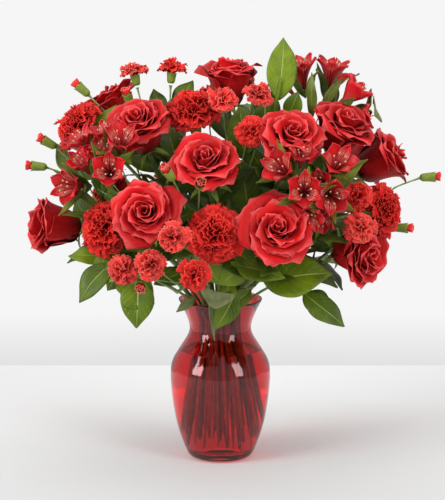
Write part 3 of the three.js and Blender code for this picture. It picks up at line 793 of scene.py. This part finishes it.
def tepal(kind, azimuth, rng):
    """One of the six petals of an alstroemeria flower, for a mouth one unit wide."""
    rows, columns = 12, 9
    v = np.linspace(0, 1, rows)
    u = np.linspace(-1, 1, columns)
    U, V = np.meshgrid(u, v)
    outer = kind == "outer"
    flare = 66 if outer else 52
    slope = np.radians(np.interp(v, [0, 0.35, 0.7, 1.0], [12, 18, 34, flare + 10 * rng.normal()]))
    out, rise = swept(slope, 1.16 if outer else 1.2)
    peak = 0.31 if outer else 0.2
    widening = 0.14 + 0.86 * smoothstep(0.1, 0.72, v)
    pointed = np.clip(1 - (np.clip(v - 0.68, 0, 1) / 0.325) ** 1.7, 0.03, 1) ** 0.75
    half = peak * widening * pointed
    cup = 0.1 * U**2 * V
    frill = 0.018 * np.sin(U * 5 + rng.uniform(0, 6)) * V**3
    radial = 0.05 + out[:, None] - cup * np.cos(slope)[:, None] + frill
    height = -DEPTH["alstroemeria"] / 2 + 0.02 + rise[:, None] + cup * np.sin(slope)[:, None]
    side = U * half[:, None]
    x = radial * math.cos(azimuth) - side * math.sin(azimuth)
    y = radial * math.sin(azimuth) + side * math.cos(azimuth)
    inner = np.full_like(V, 0.0 if outer else 1.0)
    paint = np.stack([V, np.abs(U), np.full_like(V, rng.uniform()), inner], axis=-1)
    return np.stack([x, y, height], axis=-1), paint


def thread(path, radius, sides=5):
    """A thin round tube along a path, as rows of points."""
    rows = []
    for i, point in enumerate(path):
        ahead = unit(path[min(i + 1, len(path) - 1)] - path[max(i - 1, 0)])
        helper = np.array([0, 0, 1.0]) if abs(ahead[2]) < 0.9 else np.array([1.0, 0, 0])
        x = unit(np.cross(helper, ahead))
        y = np.cross(ahead, x)
        turn = np.linspace(0, 2 * np.pi, sides, endpoint=False)
        size = radius[i] if np.ndim(radius) else radius
        rows.append(point + size * (np.outer(np.cos(turn), x) + np.outer(np.sin(turn), y)))
    return np.array(rows)


def alstroemeria_flower(petals, details, centre, faces, width, rng):
    """Six tepals, six stamens with their anthers, and the green ovary behind them."""
    spin = rng.uniform(0, 2 * np.pi)
    for i in range(6):
        points, paint = tepal("outer" if i % 2 else "inner", i * np.pi / 3, rng)
        petals.add(placed(points * width, centre, faces, spin), paint)
    low = -DEPTH["alstroemeria"] / 2
    ovary = [(0.03, low - 0.1), (0.075, low - 0.06), (0.085, low), (0.05, low + 0.06)]
    points, paint = revolved(ovary, 9)
    details.add(placed(points * width, centre, faces), paint, 0, capped=True)
    for i in range(6):
        azimuth = i * np.pi / 3 + 0.5 + rng.normal() * 0.15
        v = np.linspace(0, 1, 7)
        radial = 0.03 + 0.16 * v**1.6
        height = low + 0.1 + v * (0.86 + 0.06 * rng.normal())
        path = np.stack([radial * math.cos(azimuth), radial * math.sin(azimuth), height], axis=-1)
        filament = placed(thread(path, 0.013) * width, centre, faces, spin)
        details.add(filament, STAMEN_PAINT, 1, capped=True)
        path = path[-1] + np.outer(np.linspace(-0.03, 0.07, 5), unit(path[-1] - path[-2]))
        sizes = np.array([0.006, 0.026, 0.03, 0.024, 0.005])
        anther = placed(thread(path, sizes) * width, centre, faces, spin)
        details.add(anther, STAMEN_PAINT, 2, capped=True)


def roomiest_side(centre, faces, width):
    """The side of a flower, square to the way it faces, that is furthest from the others."""
    helper = unit(np.cross(faces, [0.3, 0.2, 1.0]))
    others = [(top, ring) for top, ring in HEADS if np.linalg.norm(centre - top) > 1e-4]
    best, widest = helper, -1.0
    for turn in np.linspace(0, 2 * np.pi, 12, endpoint=False):
        side = helper * math.cos(turn) + np.cross(faces, helper) * math.sin(turn)
        spot = centre + 0.6 * width * side
        room = min(np.linalg.norm(spot - top) - ring for top, ring in others)
        if room > widest:
            best, widest = side, room
    return best


def add_alstroemeria(node, number, materials):
    points, around = welded(node)
    rng = np.random.default_rng(ALSTROEMERIA_SEED + number)
    heads, leaves = crowns(points, around), blades(points, around)
    petals, details = Sheets(), Sheets()
    for crown in heads:
        centre, faces, width = head_frame(crown, "alstroemeria")
        alstroemeria_flower(petals, details, centre, faces, width, rng)
        side = roomiest_side(centre, faces, width)
        beside = centre - 0.3 * width * faces + 0.62 * width * side
        alstroemeria_flower(petals, details, beside, unit(faces + 0.75 * side), 0.8 * width, rng)
        for i in range(4):
            turn = i * GOLDEN + rng.uniform(0, 0.6)
            around_head = side * math.cos(turn) + np.cross(faces, side) * math.sin(turn)
            foot = centre - 0.75 * width * faces
            rise = unit(faces + rng.uniform(0.5, 0.9) * around_head)
            up = unit(around_head - rise * (around_head @ rise))
            leaves.append((foot, foot + rng.uniform(0.045, 0.058) * rise, -up, 0.012))
    piece = petals.build(f"alstroemeria_{number}_petals", [materials["alstroemeria"]], 0.0004)
    finish_piece(piece, node)
    piece = details.build(
        f"alstroemeria_{number}_stamens",
        [materials["soft_stem"], materials["filament"], materials["anther"]],
    )
    finish_piece(piece)
    name = f"alstroemeria_{number}_leaves"
    add_leaves(name, leaves, rng, "narrow_leaf", materials)
    add_stems(node, materials["soft_stem"], heads, leaves)


# ---------- Leaves ----------


def leaf_sheet(base, tip, up, width, rng):
    rows, columns = 25, 13
    s = np.linspace(0, 1, rows)
    u = np.linspace(-1, 1, columns)
    U, S = np.meshgrid(u, s)
    run = tip - base
    length = np.linalg.norm(run)
    side = unit(np.cross(run, up))
    shape = np.sin(np.pi * np.clip(s, 0.004, 0.996) ** 0.85) ** 0.8
    shape = shape * (1 - 0.25 * smoothstep(0.72, 1.0, s))
    half = width / 2 * shape[:, None]
    phase = rng.uniform(0, 2 * np.pi, 2)
    arch = length * (0.05 * np.sin(np.pi * S) - 0.05 * smoothstep(0.6, 1.0, S))
    fold = 0.16 * np.abs(U) * half
    wave = 0.018 * length * np.sin(S * rng.uniform(9, 13) + phase[0]) * U**2
    bend = 0.03 * length * math.sin(phase[1]) * np.sin(np.pi * S)
    curl = -0.02 * length * U**4
    points = (
        base
        + S[..., None] * run
        + (U * half + bend)[..., None] * side
        + (arch + fold + wave + curl)[..., None] * up
    )
    paint = np.stack([S, np.abs(U), np.full_like(S, rng.uniform()), 0 * S], axis=-1)
    return points, paint


def add_leaves(name, leaves, rng, upper, materials, node=None):
    """Leaves as one piece; each is its base, tip, upper side and width."""
    sheets = Sheets()
    for base, tip, up, width in leaves:
        outward = unit((base + tip) / 2 - BOUQUET_MIDDLE)
        up = -up if up @ outward < -0.15 else up
        points, paint = leaf_sheet(base, tip, up, width, rng)
        sheets.add(points, paint)
    if not sheets.count:
        return
    piece = sheets.build(name, [materials[upper], materials["leaf_under"]], 0.0005)
    piece.modifiers["thickness"].material_offset = 1
    finish_piece(piece, node)


def stem_line(points, around):
    """The middle of a plain stem, from its cut end up, as one point for each ring of its tube."""
    foot = int(np.argmin(points[:, 2]))
    level, seen, line = {foot}, {foot}, []
    while level:
        line.append(points[sorted(level)].mean(axis=0))
        level = {n for i in level for n in around[i]} - seen
        seen |= level
    return np.array(line)


# How far up the free part of its stem each leaf of a flower grows.
LEAF_PLACES = {"rose": (0.2, 0.34, 0.48, 0.6, 0.7, 0.8), "carnation": (0.3, 0.5, 0.66, 0.8)}
LOWEST_LEAF = 0.225  # the stems are bare below this height


def add_foliage(node, kind, number, materials):
    """Leaves along a flower's stem, below its head: wide on a rose, narrow on a carnation."""
    points, around = welded(node)
    line = stem_line(points, around)
    line = line[line[:, 2] > LOWEST_LEAF]
    gone = np.concatenate([[0], np.cumsum(np.linalg.norm(np.diff(line, axis=0), axis=1))])
    rose = kind == "rose"
    rng = np.random.default_rng((ROSE_LEAF_SEED if rose else CARNATION_LEAF_SEED) + number)
    leaves = []
    for i, share in enumerate(LEAF_PLACES[kind]):
        at = np.array([np.interp(share * gone[-1], gone, line[:, k]) for k in range(3)])
        ahead = unit(line[-1] - line[0])
        turn = i * GOLDEN + rng.uniform(0, 0.8)
        helper = unit(np.cross(ahead, [0.3, 0.2, 1.0]))
        sideways = helper * math.cos(turn) + np.cross(ahead, helper) * math.sin(turn)
        rise = unit(sideways * (1.0 if rose else 0.55) + ahead * 0.75)
        length = (0.068 if rose else 0.05) * rng.uniform(0.85, 1.15)
        width = length * (0.58 if rose else 0.13)
        up = unit(ahead - rise * (ahead @ rise) + 0.001)
        leaves.append((at + sideways * 0.002, at + rise * length, up, width))
    upper = "rose_leaf" if rose else "grey_leaf"
    add_leaves(f"{kind}_{number}_foliage", leaves, rng, upper, materials)


def add_twig(node, number, materials):
    points, around = welded(node)
    leaves = blades(points, around)
    rng = np.random.default_rng(TWIG_SEED + number)
    name = f"lemon_leaf_{number}_blades"
    add_leaves(name, leaves, rng, "lemon_leaf", materials, node)
    add_stems(node, materials["twig"], [], leaves)


def add_rim_leaves(materials):
    """Two small pale leaves at the front, which hang out over the vase's rim."""
    slim = (np.array([-0.012, -0.05, 0.227]), np.array([-0.0065, -0.063, 0.163]), 0.0075)
    short = (np.array([-0.03, -0.036, 0.213]), np.array([-0.054, -0.046, 0.195]), 0.012)
    up = unit(np.array([0.1, -1.0, 0.25]))
    leaves = [(base, tip, up, width) for base, tip, width in (slim, short)]
    rng = np.random.default_rng(RIM_LEAF_SEED)
    add_leaves("rim_leaves", leaves, rng, "grey_leaf", materials)


# ---------- Stems ----------


def add_stems(node, material, heads, leaves):
    """A smooth copy of a node's stems, without the plain heads and blades."""
    points, index = weld(node)
    gone = np.zeros(len(points), bool)
    for top, faces, ring in heads:
        along = (points - top) @ faces
        across = np.linalg.norm(points - top - np.outer(along, faces), axis=1)
        reach = 2.6 * ring if 2 * ring / CROWN_RING["bud"] > BUD_AT_MOST else 5.6 * ring
        gone |= (along > -reach + 0.4 * ring) & (across < 1.7 * ring)
    for base, tip, up, width in leaves:
        length = np.linalg.norm(tip - base)
        along = (points - base) @ unit(tip - base)
        lift = np.abs((points - base) @ up)
        across = np.linalg.norm(points - base - np.outer(along, unit(tip - base)), axis=1)
        in_blade = (along > 0.004) & (along < length + 0.002) & (across < width * 0.6)
        gone |= in_blade & (lift < 0.003)
    faces_kept = [
        [index[v] for v in polygon.vertices]
        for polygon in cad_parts[node].data.polygons
        if not any(gone[index[v]] for v in polygon.vertices)
    ]
    used = sorted({v for face in faces_kept for v in face})
    renumber = {v: i for i, v in enumerate(used)}
    mesh = bpy.data.meshes.new(node + "_stems")
    mesh.from_pydata(points[used], [], [[renumber[v] for v in face] for face in faces_kept])
    mesh.shade_smooth()
    mesh.materials.append(material)
    piece = bpy.data.objects.new(node + "_stems", mesh)
    bpy.context.scene.collection.objects.link(piece)
    smooth = piece.modifiers.new("smoothing", "SUBSURF")
    smooth.levels = smooth.render_levels = 1
    finish_piece(piece, node)


# ---------- Vase and water ----------


def vase_profile():
    """The vase's profile as (radius, height), from its underside round to its inner floor."""
    points, around = welded("vase")
    flat = np.hypot(points[:, 0], points[:, 1])
    azimuth = np.arctan2(points[:, 1], points[:, 0])
    on_line = (flat < 1e-4) | (np.abs(azimuth) < 1e-3)
    start = int(np.argmin(np.where(flat < 1e-4, points[:, 2], 9)))
    profile, here, seen = [], start, set()
    while here is not None:
        profile.append((flat[here], points[here][2]))
        seen.add(here)
        following = [n for n in around[here] if on_line[n] and n not in seen]
        here = following[0] if following else None
    return profile


def add_vase(materials):
    """The glass, and the water, which reaches a hair into the glass all round."""
    profile = vase_profile()
    profile[0] = (NEAR_AXIS, profile[0][1])
    profile[-1] = (NEAR_AXIS, profile[-1][1])
    sheets = Sheets()
    points, paint = revolved(profile, VASE_SIDES)
    sheets.add(points, paint, capped=True)
    vase = sheets.build("vase_glass", [materials["glass"]], 0, 2)
    finish_piece(vase, "vase")

    outside_top = int(np.argmax([z for _, z in profile]))
    inner = profile[outside_top + 1 :]
    wet = [(r + INTO_GLASS, z) for r, z in inner if 0.012 < z < WATER_LEVEL]
    floor = inner[-1][1] - INTO_GLASS
    above = min((z, r) for r, z in inner if z > WATER_LEVEL)
    below = max((z, r) for r, z in inner if z < WATER_LEVEL)
    rim = np.interp(WATER_LEVEL, [below[0], above[0]], [below[1], above[1]]) + INTO_GLASS
    foot = wet[-1][0] - 0.004
    water = [(NEAR_AXIS, WATER_LEVEL), (rim - 0.003, WATER_LEVEL)]
    water += [(rim - 0.001, WATER_LEVEL + 0.0004), (rim, WATER_LEVEL + 0.0012)]
    water += wet + [(foot, floor), (NEAR_AXIS, floor)]
    sheets = Sheets()
    points, paint = revolved(water[::-1], VASE_SIDES)
    sheets.add(points, paint, capped=True)
    finish_piece(sheets.build("water", [materials["water"]], 0, 1))


# ---------- Assembly ----------


def finish_piece(piece, node=None):
    """Puts a piece on the root body, and hides the CAD node that it stands for."""
    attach(piece, "root")
    if node:
        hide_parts(node)


# Each leaf's dark and light green, the colour of its veins, and its roughness.
LEAF_COLOURS = {
    "calyx": ((0.12, 0.19, 0.02), (0.26, 0.34, 0.06), (0.36, 0.42, 0.12), 0.38),
    "lemon_leaf": ((0.05, 0.09, 0.003), (0.14, 0.21, 0.008), (0.26, 0.34, 0.06), 0.38),
    "narrow_leaf": ((0.07, 0.1, 0.008), (0.19, 0.22, 0.03), (0.28, 0.3, 0.07), 0.38),
    "rose_leaf": ((0.03, 0.06, 0.004), (0.08, 0.13, 0.008), (0.14, 0.19, 0.03), 0.38),
    "grey_leaf": ((0.16, 0.21, 0.08), (0.3, 0.36, 0.15), (0.38, 0.43, 0.2), 0.38),
    "leaf_under": ((0.1, 0.16, 0.03), (0.19, 0.26, 0.07), (0.28, 0.34, 0.12), 0.6),
}


def make_materials():
    leaves = {name: leaf_material(name, *values) for name, values in LEAF_COLOURS.items()}
    return leaves | {
        # Rose: the near-black heart is painted shade in the crevices between petals, and the
        # pinker rim is a painted highlight along the rolled edges.
        "rose": petal_material(
            "rose_petal", (0.08, 0.001, 0.001), (0.53, 0.005, 0.007), (0.8, 0.09, 0.09),
            rim_starts=0.95, roughness=0.5, specular_ior_level=0.15, sheen_weight=0.02,
        ),
        # Carnation: the darker heart is painted shade deep in the frills, and the lighter rim is a
        # painted highlight on the petal edges.
        "carnation": petal_material(
            "carnation_petal", (0.3, 0.004, 0.003), (0.58, 0.009, 0.006), (0.74, 0.04, 0.03),
            rim_starts=0.88, roughness=0.7, specular_ior_level=0.2,
        ),
        # Spray carnations: the darker hearts are painted shade deep in the frills and the lighter
        # rims are painted highlights; the edged one's pale rim is also its own pale petal edge.
        "spray_plain": petal_material(
            "spray_petal", (0.36, 0.006, 0.004), (0.72, 0.022, 0.016), (0.82, 0.08, 0.06),
            rim_starts=0.9, roughness=0.7, specular_ior_level=0.2,
        ),
        "spray_edged": petal_material(
            "spray_petal_edged", (0.44, 0.01, 0.008), (0.78, 0.045, 0.035), (0.88, 0.22, 0.17),
            rim_starts=0.94, roughness=0.7, specular_ior_level=0.2,
        ),
        "alstroemeria": tepal_material(),
        "stem": stem_material("rose_stem", (0.06, 0.1, 0.02), (0.17, 0.25, 0.06)),
        "soft_stem": stem_material("soft_stem", (0.12, 0.19, 0.05), (0.26, 0.36, 0.12)),
        "twig": stem_material("twig", (0.08, 0.1, 0.03), (0.2, 0.22, 0.08)),
        "filament": stem_material("filament", (0.45, 0.05, 0.08), (0.62, 0.12, 0.15)),
        "anther": stem_material("anther", (0.4, 0.33, 0.16), (0.6, 0.52, 0.28)),
        "glass": glass_material(),
        "water": water_material(),
    }


def number_of(node):
    """The number in a node's name."""
    return int("".join(c for c in node if c.isdigit()))


# The top and the ring radius of every head, for finding room beside a flower.
HEADS = [
    (crown[0], crown[2]) for node in NODES if node != "vase" for crown in crowns(*welded(node))
]
add_camera()
add_stage()
add_lights()
MATERIALS = make_materials()
add_vase(MATERIALS)
add_rim_leaves(MATERIALS)
for NODE in NODES:
    if NODE == "vase":
        continue
    NUMBER = number_of(NODE)
    if NODE.endswith("_stem"):
        KIND = NODE.split("_")[0]
        add_stems(NODE, MATERIALS["stem" if KIND == "rose" else "soft_stem"], [], [])
        add_foliage(NODE, KIND, NUMBER, MATERIALS)
    elif NODE.startswith("rose"):
        add_rose(NODE, NUMBER, MATERIALS)
    elif NODE.startswith("carnation"):
        add_carnation(NODE, NUMBER, MATERIALS)
    elif NODE.startswith("spray"):
        add_spray(NODE, NUMBER, MATERIALS)
    elif NODE.startswith("alstroemeria"):
        add_alstroemeria(NODE, NUMBER, MATERIALS)
    elif NODE.startswith("lemon"):
        add_twig(NODE, NUMBER, MATERIALS)

bpy.context.view_layer.update()
